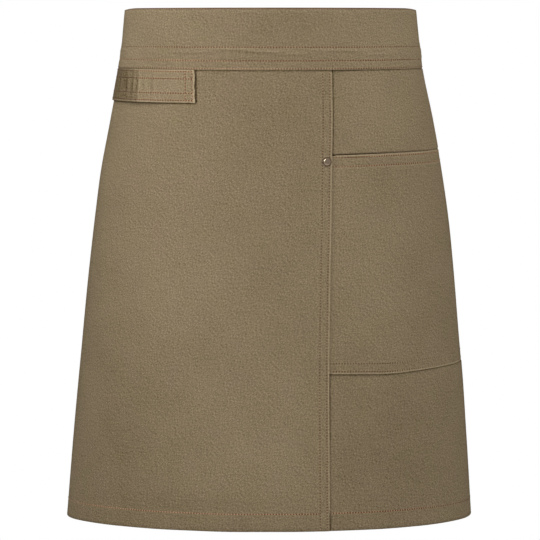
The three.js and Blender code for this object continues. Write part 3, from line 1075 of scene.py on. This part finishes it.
def rust_thread(name):
    """Twisted rust-brown thread: painted highlight on top, painted shade at its dips, nearer the cloth where
    faint.
    """
    cloth = bpy.context.scene.apron_cloth
    material, tree, shader = new_material(name, {"Roughness": 0.7, "Specular IOR Level": 0.1})
    place = tree.nodes.new("ShaderNodeTexCoord").outputs["Object"]
    fluff, patch = noise_node(tree, place, 900), noise_node(tree, place, 45)
    rub = math_node(tree, "MULTIPLY_ADD", patch, 0.8, -0.4)
    # The share of painted highlight on the thread, varied in patches.
    highlit = math_node(tree, "ADD", attribute_node(tree, "highlight_share"), rub)
    highlit.node.use_clamp = True
    # Painted shade where the thread dips, painted highlight on its top.
    rust = mixed_colour(tree, highlit, (*cloth.thread, 1), (*cloth.thread_highlight, 1))
    # Faint thread takes the cloth's colour, lightened and darkened by the same painted highlight.
    plain = tinted(tree, tuple(cloth.khaki), math_node(tree, "MULTIPLY_ADD", highlit, 1.3, 0.3))
    blended = mixed_colour(tree, attribute_node(tree, "faint"), rust, plain)
    tone = math_node(tree, "MULTIPLY_ADD", fluff, 0.5, 0.75)
    tree.links.new(tinted(tree, blended, tone), shader.inputs["Base Color"])
    bump(tree, shader, fluff, 0.4, 0.0001)
    return material


def antique_copper(name):
    """Brushed copper with a dark patina left in its low places, and its flange darker as patina and painted
    shade.
    """
    rivet = bpy.context.scene.apron_rivet
    material, tree, shader = new_material(name, {"Metallic": 0.8})
    place = tree.nodes.new("ShaderNodeTexCoord").outputs["Object"]
    patina, grain = noise_node(tree, place, 700, 3.0), noise_node(tree, place, 3500)
    # The flange is darkened as patina and as painted shade along the rim.
    bare = math_node(tree, "MULTIPLY_ADD", attribute_node(tree, "patina"), -0.68, 1.0)
    tone = math_node(tree, "MULTIPLY", math_node(tree, "MULTIPLY_ADD", patina, 0.9, 0.5), bare)
    tree.links.new(tinted(tree, tuple(rivet.copper), tone), shader.inputs["Base Color"])
    tree.links.new(math_node(tree, "MULTIPLY_ADD", patina, 0.12, 0.06), shader.inputs["Roughness"])
    bump(tree, shader, grain, 0.06, 0.0001)
    return material


# Operators

class ApronOperator:
    """What the sewing operators share"""
    bl_options = {"REGISTER", "UNDO"}


def sew_panel(node, cloth, columns, low, high, close, relief, marks, through):
    """A skirt panel with its hem and edges turned under; its marks (painted light and shade) may go through
    to the turned hem.
    """
    sewn = [line - PANEL_TOP for line in (BAND_HEIGHT, HEM_ROW, *close)]
    rows = Lines(APRON_LENGTH - PANEL_TOP, PANEL_STEP, sewn, cloth, 0, HEM).upward()
    drop = PANEL_TOP + rows.places + 0 * columns.places
    along = columns.across(low(drop), high(drop))
    out = relief(drop, along) - cloth / 2 + columns.out + rows.out
    plain = panel_wear_and_shade(drop, along)
    worn = np.where(through | ~rows.folded, plain + marks(drop, along), plain)
    piece = cloth_grid(f"{node}_cloth", spot(drop, along, out), along, drop, worn, plain)
    hemmed = (drop > APRON_LENGTH - HEM - 1) | (drop < LAP_TOP)
    drop_points(piece, columns.folded & hemmed)
    finish_cloth(piece, cloth * MM, node)
    return piece


class APRON_OT_front_panel(ApronOperator, bpy.types.Operator):
    """Sews the front panel, with its hem, back edge and lap turned under"""
    bl_idname = "apron.front_panel"
    bl_label = "Front panel"

    def execute(self, context):
        cloth = context.scene.apron_cloth.thickness / MM
        beside_loop, under_loop = (259.6, 261.2), (89.6, 90.6, 91.6)
        sewn = (EDGE_ROW, *beside_loop, *(FRONT_WIDTH - inset for inset in LAP_ROWS))
        columns = Lines(FRONT_WIDTH, 2.3, sewn, cloth, EDGE_TURN, LAP_WIDTH)
        piece = sew_panel(
            "front_panel", cloth, columns, lambda drop: -back_along(drop), lap_along,
            under_loop, front_relief, front_marks, through=True)
        return {"FINISHED"}


class APRON_OT_side_panel(ApronOperator, bpy.types.Operator):
    """Sews the side panel that starts under the lap and hangs behind the pocket"""
    bl_idname = "apron.side_panel"
    bl_label = "Side panel"

    def execute(self, context):
        cloth = context.scene.apron_cloth.thickness / MM
        sewn = (LAP_WIDTH + 0.6, SIDE_WIDTH - EDGE_ROW)
        columns = Lines(SIDE_WIDTH, 2.6, sewn, cloth, 0, EDGE_TURN)
        by_pocket = (136, 138, 139, 140.5, 142, 347, 349, 351, 353)
        piece = sew_panel(
            "side_panel", cloth, columns, lambda drop: lap_along(drop) - LAP_WIDTH, back_along,
            by_pocket, side_relief, side_marks, through=False)
        return {"FINISHED"}


class APRON_OT_waistband(ApronOperator, bpy.types.Operator):
    """Folds the waistband over the panels' top edges"""
    bl_idname = "apron.waistband"
    bl_label = "Waistband"

    def execute(self, context):
        cloth = context.scene.apron_cloth.thickness / MM
        line, face, back = self.round_fold(cloth)
        side = spread(BAND_FRONT, BAND_HALF, 3.2)[1:]
        share = np.concatenate((-side[::-1], spread(-BAND_FRONT, BAND_FRONT, 1.3), side)) / BAND_HALF
        drop = line + 0 * share
        along = share * back_along(drop)
        skin = band_relief(drop, along) - cloth / 2 + back
        middle = (0.3 + BAND_LINING) / 2
        outer = middle + (skin - middle) * np.minimum(face, 1)
        inner = middle - (BAND_LINING - middle) * face
        tape = within(drop, TIE_TOP - 2.5, TIE_TOP, TIE_FOOT, TIE_FOOT + 2.5)
        shut = (1 - ease(back_along(drop) - np.abs(along), 0, BAND_END)) * (1 - 0.55 * tape)
        out = pinched(np.where(face > 0, outer, inner), shut)
        points = spot(band_drop(drop, along), along, out)
        worn = band_wear_and_shade(drop, along, face > 0)
        own_weave_inside = drop + 200 * (face < 0)
        piece = cloth_grid("waistband_cloth", points, along, own_weave_inside, worn)
        finish_cloth(piece, cloth * MM, "waistband")
        return {"FINISHED"}

    def round_fold(self, cloth):
        """Lines from the lining round the fold to the turned edge: drops, faces (-1 to 1) and offsets."""
        inside = spread(BAND_HEIGHT, 2.4, 4.0)
        bend = np.linspace(0, math.pi, 9)[1:-1]
        creased = [BAND_ROWS[0] + 3 + 2.2 * i for i in range(4)]
        outside = Lines(BAND_HEIGHT, 2.4, (*BAND_ROWS, TOP_ROW, *creased), cloth, 0, BAND_TURN)
        below = outside.places > 1.3
        line = np.concatenate((inside, 1.4 - 1.1 * np.sin(bend), outside.places[below]))
        face = np.concatenate((np.full(len(inside), -1.0), -np.cos(bend), np.ones(below.sum())))
        back = np.concatenate((np.zeros(len(inside) + len(bend)), outside.out[below]))
        return line[::-1, None], face[::-1, None], back[::-1, None]


class APRON_OT_pocket(ApronOperator, bpy.types.Operator):
    """Sews the big side pocket, open at its mouth"""
    bl_idname = "apron.pocket"
    bl_label = "Pocket"

    def execute(self, context):
        cloth = context.scene.apron_cloth.thickness / MM
        width = POCKET_WIDTH + POCKET_TUCK
        columns = Lines(width, 2.3, [width - inset for inset in POCKET_FAR_ROWS], cloth, 0, EDGE_TURN)
        sewn = (*POCKET_MOUTH_ROWS, *(POCKET_HEIGHT - inset for inset in POCKET_FOOT_ROWS))
        rows = Lines(POCKET_HEIGHT, 2.6, sewn, cloth, POCKET_HEM, POCKET_HEM).upward()
        from_lap = columns.places - POCKET_TUCK + 0 * rows.places
        mouth, foot = pocket_lines(from_lap)
        drop = rows.across(mouth, foot)
        along = lap_along(drop) + from_lap
        out = pocket_relief(drop, along) - cloth / 2 + columns.out + rows.out
        worn = pocket_wear_and_shade(drop, along)
        piece = cloth_grid("pocket_cloth", spot(drop, along, out), along, drop, worn)
        near_hem = (drop < mouth + POCKET_HEM + 1) | (drop > foot - POCKET_HEM - 1)
        drop_points(piece, (columns.folded & near_hem) | (rows.folded & (from_lap < 3)))
        finish_cloth(piece, cloth * MM, "pocket")
        return {"FINISHED"}


class APRON_OT_towel_loop(ApronOperator, bpy.types.Operator):
    """Sews the doubled strap of the towel loop"""
    bl_idname = "apron.towel_loop"
    bl_label = "Towel loop"

    def execute(self, context):
        distance = lines_near(spread(0, LOOP_LENGTH, 0.9), LOOP_ENDS)[::-1]
        height = lines_near(spread(0, LOOP_HEIGHT, 1.4), LOOP_ROWS)[::-1, None] + 0 * distance
        along = LOOP_START - distance + 0 * height
        out = loop_relief(height, along) - LOOP_STRAP / 2
        uneven = 0.6 * np.exp(-distance / 3) * waves(62, height, 0 * height, (8, 13, 21), slant=0.01)
        points = spot(loop_drop(height, along), along + uneven, out)
        piece = cloth_grid("towel_loop_cloth", points, height, along, loop_wear_and_shade(height, distance))
        finish_cloth(piece, LOOP_STRAP * MM, "towel_loop", bevel=0.4 * MM)
        return {"FINISHED"}


class APRON_OT_back_tie(ApronOperator, bpy.types.Operator):
    """Runs the tape out of one end of the waistband, round the back and into the other end"""
    bl_idname = "apron.back_tie"
    bl_label = "Back tape"

    def execute(self, context):
        start = float(back_along(TIE_TOP)) - TIE_TUCK
        along = spread(start, 2 * half_round(TIE_TOP) - start, 2.5)
        drop = spread(TIE_TOP, TIE_FOOT, 1.3)[::-1, None] + 0 * along
        along = along + 0 * drop
        out = BAND_MIDDLE - 0.12 * np.cos((drop - TIE_TOP) / TIE_HEIGHT * 2 * math.pi)
        worn = line_tone(drop - TIE_TOP, reach=0.9) + line_tone(TIE_FOOT - drop, reach=0.9)
        piece = cloth_grid("back_tie_cloth", spot(drop, along, out), along, drop, worn)
        finish_cloth(piece, TIE_THICKNESS * MM, "back_tie", bevel=0.25 * MM)
        return {"FINISHED"}


class APRON_OT_rivet(ApronOperator, bpy.types.Operator):
    """Turns the rivet's domed cap and the ring behind it"""
    bl_idname = "apron.rivet"
    bl_label = "Rivet"

    def execute(self, context):
        radius = context.scene.apron_rivet.diameter / 2
        shank, foot, rim, dome = 0.0016, -0.0001, 0.0008, 0.0028
        shoulder = [(radius - 0.00307 + dome * math.sin(turn), dome * math.cos(turn) - 0.0004)
                    for turn in np.radians((62, 54, 46, 38, 30, 22, 13, 4))]
        cap = (
            (shank, -0.0075), (shank, foot), (radius - 0.0004, foot), (radius, 0.0003), (radius, 0.0006),
            (radius - 0.0002, rim), (radius - 0.0005, rim), *shoulder, (0.0008, 0.00240), (0.0003, 0.00241),
        )
        grip = (LAP_PROUD + 0.6 - side_face(RIVET_DROP, -RIVET_INSET) + 1.0) * MM
        bore, ring = 0.0018, 0.0035
        burr = (
            (bore, -grip), (bore, -grip - 0.0011), (0.0022, -grip - 0.0012), (0.0030, -grip - 0.0011),
            (ring, -grip - 0.0007), (ring, -grip),
        )
        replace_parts(self.turn("rivet_cap_dome", cap, True), "rivet_cap")
        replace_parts(self.turn("rivet_burr_ring", burr, False), "rivet_burr")
        return {"FINISHED"}

    def turn(self, name, profile, filled):
        """Raises a disc or a ring from circle to circle along the rivet's axis."""
        deselect_all()
        fill = "NGON" if filled else "NOTHING"
        first, height = profile[0]
        bpy.ops.mesh.primitive_circle_add(vertices=40, radius=first, fill_type=fill, location=(0, 0, height))
        bpy.ops.object.transform_apply(location=True, rotation=True, scale=True)
        piece = bpy.context.object
        piece.name = piece.data.name = name
        bpy.ops.object.mode_set(mode="EDIT")
        bpy.ops.mesh.select_all(action="SELECT")
        for wide, high in profile[1:]:
            lift = {"value": (0, 0, high - height)}
            if filled:
                bpy.ops.mesh.extrude_region_move(TRANSFORM_OT_translate=lift)
            else:
                bpy.ops.mesh.extrude_edges_move(TRANSFORM_OT_translate=lift)
            bpy.ops.transform.resize(value=(wide / first, wide / first, 1), center_override=(0, 0, high))
            first, height = wide, high
        bpy.ops.mesh.select_all(action="SELECT")
        if not filled:
            self.close_ring()
        bpy.ops.mesh.normals_make_consistent(inside=False)
        bpy.ops.object.mode_set(mode="OBJECT")
        rim = max(wide for wide, _ in profile)
        reach = np.array([math.hypot(*vertex.co[:2]) for vertex in piece.data.vertices])
        # Marks the flange, which the copper darkens as patina and as painted shade along the rim.
        point_values(piece.data, "patina", ease(reach, rim - 0.0008, rim - 0.0004))
        return self.stand(piece)

    def close_ring(self):
        """Joins the ring's last circle to its first."""
        bpy.ops.mesh.select_all(action="DESELECT")
        bpy.ops.mesh.select_mode(type="EDGE")
        bpy.ops.mesh.select_non_manifold(extend=False)
        bpy.ops.mesh.bridge_edge_loops()
        bpy.ops.mesh.select_all(action="SELECT")

    def stand(self, piece):
        """Stands the turned piece on the lap, its axis along the cloth's outward normal."""
        drop, along = RIVET_DROP, float(lap_along(RIVET_DROP)) - RIVET_INSET
        skin = LAP_PROUD + 0.15
        foot = Vector(spot(np.array(drop), np.array(along), skin))
        right = Vector(spot(np.array(drop), np.array(along + 1), skin)) - foot
        below = Vector(spot(np.array(drop + 1), np.array(along), skin)) - foot
        normal = below.cross(right).normalized()
        piece.rotation_mode = "QUATERNION"
        piece.rotation_quaternion = normal.to_track_quat("Z", "Y")
        piece.location = foot
        select_only(piece)
        bpy.ops.object.transform_apply(location=True, rotation=True, scale=True)
        bpy.ops.object.shade_smooth_by_angle(angle=math.radians(40))
        piece.data.materials.append(shared("antique copper", antique_copper))
        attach(piece, "root")
        return piece


class APRON_OT_stitching(ApronOperator, bpy.types.Operator):
    """Topstitches the band, the lap, the hems, the pocket and the loop"""
    bl_idname = "apron.stitching"
    bl_label = "Stitching"

    def execute(self, context):
        thread = shared("rust thread", rust_thread)
        needle = Seamstress(context.scene.apron_cloth)
        for name, rows in (("waistband", self.band), ("skirt", self.skirt),
                           ("pocket", self.pocket), ("towel_loop", self.loop)):
            rows(needle)
            needle.sew(f"{name}_stitching", thread)
        return {"FINISHED"}

    def band(self, needle):
        """Four rows round the waistband, with their undersides inside."""
        for row, (tone, faint) in zip((TOP_ROW, *BAND_ROWS), BAND_THREADS):
            end = float(back_along(row))
            along = np.linspace(2 - end, end - 2, 900)
            line = np.full_like(along, row)
            faint = faint + 0.3 * (1 - ease(along, -150, -90)) + 0.3 * ease(along, 110, 160)
            # Lighter thread at the left of the second row and in the middle of the third is painted
            # highlight; darker at the third's right, painted shade.
            if row == BAND_ROWS[1]:
                tone = tone + 0.22 * (1 - ease(along, -60, -20))
            if row == BAND_ROWS[2]:
                tone = tone + 0.4 * near(along + 28, 45) - 0.12 * ease(along, 40, 90)
            drop = band_drop(line, along)
            shut = 1 - ease(end - np.abs(along), 0, BAND_END)
            skin = band_relief(line, along) - 0.2 * (row == TOP_ROW)
            needle.row(drop, along, pinched(skin, shut), tone, faint=faint)
            needle.row(drop, along, pinched(BAND_INSIDE, shut), inward=True)

    def skirt(self, needle):
        """The lap's twin rows, the hem and the turned back edges."""
        drop = np.linspace(BAND_HEIGHT + 1, APRON_LENGTH - 1, 500)
        for inset in LAP_ROWS:
            along = lap_along(drop) - inset
            faint = 0.68 + 0.12 * within(drop, *FAINT_THREAD_SPAN)
            needle.row(drop, along, front_relief(drop, along), 0.45, 0.75, faint)
        lap, end = float(lap_along(HEM_ROW)), float(back_along(HEM_ROW)) - EDGE_ROW
        along = np.linspace(-end, lap - 10.5, 700)
        self.pair(needle, np.full_like(along, HEM_ROW), along, front_relief)
        along = np.linspace(lap + 1, end, 500)
        self.pair(needle, np.full_like(along, HEM_ROW), along, side_relief)
        self.pair(needle, drop, EDGE_ROW - back_along(drop), front_relief)
        self.pair(needle, drop, back_along(drop) - EDGE_ROW, side_relief)

    def pair(self, needle, drop, along, relief):
        """A row outside and its underside on the turned cloth inside."""
        skin = relief(drop, along)
        faint = 0.15 + 0.5 * (1 - ease(along, -225, -180)) + 0.45 * ease(along, 130, 200)
        # More painted highlight on the thread towards the left, less towards the right.
        tone = 0.78 - 0.24 * ease(along, -60, 40) - 0.12 * ease(along, 50, 70)
        needle.row(drop, along, skin, tone, faint=faint)
        needle.row(drop, along, skin - HEM_LAYERS, 0.66, inward=True)

    def pocket(self, needle):
        """Twin rows at the pocket's mouth, foot and far edge."""
        from_lap = np.linspace(1.5, POCKET_WIDTH - 1.5, 500)
        mouth, foot = pocket_lines(from_lap)
        # The thread's share of painted highlight and its contrast change along the mouth and the foot.
        drawn, lost = 1 - ease(from_lap, 20, 55), ease(from_lap, 50, 100)
        for inset, tone in zip(POCKET_MOUTH_ROWS, (0.54 - 0.12 * drawn, 0.6)):
            along = lap_along(mouth + inset) + from_lap
            skin = pocket_relief(mouth + inset, along)
            needle.row(mouth + inset, along, skin, tone, 1 - 0.4 * drawn, 0.35)
        for inset, faint in zip(POCKET_FOOT_ROWS, (0.55, 0.85)):
            along = lap_along(foot - inset) + from_lap
            skin = pocket_relief(foot - inset, along)
            faint = faint + (0.97 - faint) * lost
            needle.row(foot - inset, along, skin, 0.38 + 0.2 * lost, 1 - 0.5 * lost, faint)
        for inset in POCKET_FAR_ROWS:
            mouth, foot = pocket_lines(POCKET_WIDTH - inset)
            drop = np.linspace(mouth + 1, foot - 1, 400)
            along = lap_along(drop) + POCKET_WIDTH - inset
            needle.row(drop, along, pocket_relief(drop, along))

    def loop(self, needle):
        """Rows along the loop and across its two sewn ends."""
        distance = np.linspace(1, LOOP_LENGTH - 1, 400)
        # Thread darker where the loop turns to the side, as painted shade.
        dark = ease(distance, 56, 74)
        looks = (0.38 - 0.33 * dark, 1.1 - 0.6 * dark, 0.15 + 0.5 * dark)
        for row in LOOP_ROWS:
            height, along = np.full_like(distance, row), LOOP_START - distance
            needle.row(loop_drop(height, along), along, loop_relief(height, along), *looks)
        height = np.linspace(1, LOOP_HEIGHT - 1, 80)
        for inset in LOOP_ENDS:
            for place in (inset, LOOP_LENGTH - inset):
                along = np.full_like(height, LOOP_START - place)
                needle.row(loop_drop(height, along), along, loop_relief(height, along), 0.38, 1.1, 0.15)


class APRON_OT_stage(ApronOperator, bpy.types.Operator):
    """Sets the pale floor, the white surround, the soft lights and the camera"""
    bl_idname = "apron.stage"
    bl_label = "Stage"

    def execute(self, context):
        stage = context.scene.apron_stage
        self.floor(stage)
        self.surround(context.scene, stage)
        key = self.soft_light("key light", (-0.55, -0.55, 0.45), 0.9, stage.key_power)
        key.data.shape, key.data.size_y = "RECTANGLE", 0.4
        key.rotation_euler.rotate_axis("Z", math.radians(61))
        for name, place, power in (("side light", (1.2, -0.2, 0.6), stage.side_power),
                                   ("front light", (0, -1.2, -0.3), stage.front_power),
                                   ("left light", (-1.3, -0.1, 0.1), stage.left_power),
                                   ("back light", (0, 1.5, 0.5), stage.back_power)):
            self.soft_light(name, place, 0.6, power).visible_glossy = False
        camera = bpy.data.cameras.new("camera")
        camera.lens, camera.sensor_width = stage.lens, 36
        viewer = bpy.data.objects.new("camera", camera)
        context.scene.collection.objects.link(viewer)
        viewer.location = (0, -stage.camera_distance, 0)
        viewer.rotation_euler = (math.pi / 2 - stage.camera_tilt, 0, 0)
        context.scene.camera = viewer
        context.scene.view_settings.view_transform = "Standard"
        return {"FINISHED"}

    def floor(self, stage):
        """A round pale floor that brightens a little towards its rim."""
        deselect_all()
        middle = (0, 0, -stage.floor_drop)
        bpy.ops.mesh.primitive_circle_add(vertices=96, radius=3.6, fill_type="NGON", location=middle)
        floor = bpy.context.object
        floor.name = floor.data.name = "floor"
        bpy.ops.object.transform_apply(location=True, rotation=True, scale=True)
        material, tree, shader = new_material("pale floor", {
            "Base Color": (0.7, 0.7, 0.69, 1), "Roughness": 0.8, "Emission Color": (1, 1, 0.99, 1)})
        path = tree.nodes.new("ShaderNodeLightPath")
        place = tree.nodes.new("ShaderNodeTexCoord").outputs["Object"]
        reach = vector_node(tree, "LENGTH", vector_node(tree, "MULTIPLY", place, (1, 1, 0)))
        squared = math_node(tree, "POWER", reach.node.outputs["Value"], 2)
        pale = math_node(tree, "MULTIPLY_ADD", squared, 0.016, 0.5)
        glow = math_node(tree, "MULTIPLY", pale, path.outputs["Is Camera Ray"])
        tree.links.new(glow, shader.inputs["Emission Strength"])
        floor.data.materials.append(material)

    def surround(self, scene, stage):
        """A white room: bright where the camera sees it, softer as light on the cloth."""
        world = bpy.data.worlds.new("white surround")
        scene.world = world
        world.use_nodes = True
        tree = world.node_tree
        room = tree.nodes["Background"]
        room.inputs["Color"].default_value = (1, 1, 1, 1)
        path = tree.nodes.new("ShaderNodeLightPath")
        seen = path.outputs["Is Camera Ray"]
        strength = math_node(tree, "MULTIPLY_ADD", seen, 1.0 - stage.surround, stage.surround)
        tree.links.new(strength, room.inputs["Strength"])

    def soft_light(self, name, place, size, power):
        """A square soft light aimed at the apron."""
        lamp = bpy.data.lights.new(name, "AREA")
        lamp.energy, lamp.size = power, size
        light = bpy.data.objects.new(name, lamp)
        bpy.context.scene.collection.objects.link(light)
        light.location = place
        light.visible_camera = False
        light.rotation_euler = (Vector((0, 0, -0.15)) - Vector(place)).to_track_quat("-Z", "Y").to_euler()
        return light


class APRON_PT_pieces(bpy.types.Panel):
    """Lists the apron's pieces and their settings"""
    bl_idname = "APRON_PT_pieces"
    bl_label = "Waist apron"
    bl_space_type = "VIEW_3D"
    bl_region_type = "UI"
    bl_category = "Apron"

    def draw(self, context):
        for settings in (context.scene.apron_cloth, context.scene.apron_rivet, context.scene.apron_stage):
            box = self.layout.box()
            for name in settings.__annotations__:
                box.prop(settings, name)
        for operator in OPERATORS:
            self.layout.operator(operator.bl_idname)


SETTINGS = {
    "apron_cloth": ApronClothSettings,
    "apron_rivet": ApronRivetSettings,
    "apron_stage": ApronStageSettings,
}

OPERATORS = (
    APRON_OT_stage,
    APRON_OT_front_panel,
    APRON_OT_side_panel,
    APRON_OT_waistband,
    APRON_OT_pocket,
    APRON_OT_towel_loop,
    APRON_OT_back_tie,
    APRON_OT_rivet,
    APRON_OT_stitching,
)


def register():
    for name, settings in SETTINGS.items():
        bpy.utils.register_class(settings)
        setattr(bpy.types.Scene, name, PointerProperty(type=settings))
    for made in (*OPERATORS, APRON_PT_pieces):
        bpy.utils.register_class(made)


def unregister():
    for made in (APRON_PT_pieces, *reversed(OPERATORS)):
        bpy.utils.unregister_class(made)
    for name, settings in reversed(SETTINGS.items()):
        delattr(bpy.types.Scene, name)
        bpy.utils.unregister_class(settings)


def main():
    register()
    bpy.ops.apron.stage()
    bpy.ops.apron.front_panel()
    bpy.ops.apron.side_panel()
    bpy.ops.apron.waistband()
    bpy.ops.apron.pocket()
    bpy.ops.apron.towel_loop()
    bpy.ops.apron.back_tie()
    bpy.ops.apron.rivet()
    bpy.ops.apron.stitching()


if __name__ == "__main__":
    main()
